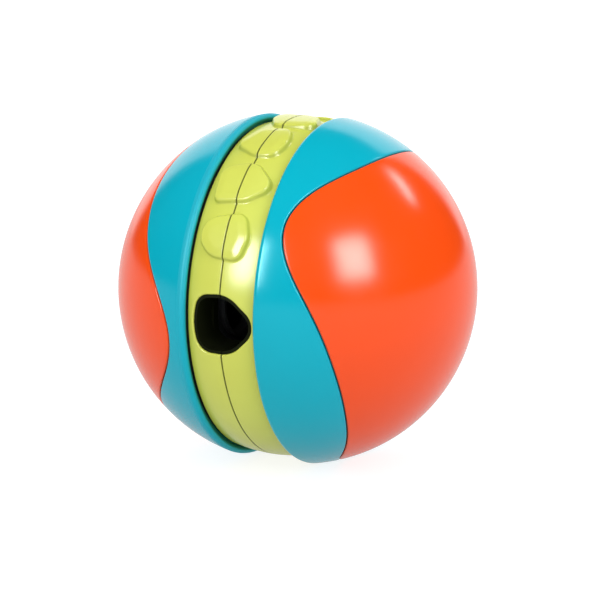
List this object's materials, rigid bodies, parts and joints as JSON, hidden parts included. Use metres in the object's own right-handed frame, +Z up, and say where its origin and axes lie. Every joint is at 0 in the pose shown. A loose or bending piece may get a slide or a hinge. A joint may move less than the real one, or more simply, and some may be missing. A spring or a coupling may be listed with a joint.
{
  "type": "treat dispensing ball",
  "caption": "Hollow twist-apart pet ball in two half balls with a band of raised pads and one hole that lets dry treats fall out as it rolls.",
  "frame": {"origin": "centre of the ball, on the twist axis and in the seam plane", "axes": "+X along the twist axis from the left half to the right half, -Y towards the dispensing hole, +Z up"},
  "size_m": [0.131, 0.1252, 0.1255],
  "materials": {
    "teal_shell": "gloss",
    "orange_cap": "gloss",
    "lime_band": "satin gloss",
    "inner_plastic": "satin",
    "ring_plastic": "matte",
    "plate_plastic": "matte",
    "silicone": "matte",
    "screw_steel": "plated"
  },
  "bodies": {
    "left_half": {"left_shell": "teal_shell", "left_cap": "orange_cap", "left_band": "lime_band", "left_bowl": "inner_plastic", "neck_ring": "ring_plastic", "neck_o_ring": "silicone", "left_cap_screws": "screw_steel", "left_band_screws": "screw_steel"},
    "maze_plate": {"maze_plate": "plate_plastic"},
    "right_half": {"right_shell": "teal_shell", "right_cap": "orange_cap", "right_band": "lime_band", "right_bowl": "inner_plastic", "socket_ring": "ring_plastic", "centre_post": "ring_plastic", "post_screw": "screw_steel", "plate_washer": "screw_steel", "plate_screw": "screw_steel", "right_cap_screws": "screw_steel", "right_band_screws": "screw_steel"}
  },
  "joints": [
    {"name": "plate_slide", "type": "slide", "parent": "left_half", "child": "maze_plate", "axis": [1, 0, 0], "range_m": [0, 0.0501]},
    {"name": "ball_twist", "type": "hinge", "parent": "maze_plate", "child": "right_half", "pos_m": [0, 0, 0], "axis": [1, 0, 0], "range_deg": [0, 300]}
  ],
  "couplings": [
    {"joint": "plate_slide", "follows": "ball_twist", "m_per_rad": 0.0095493}
  ]
}
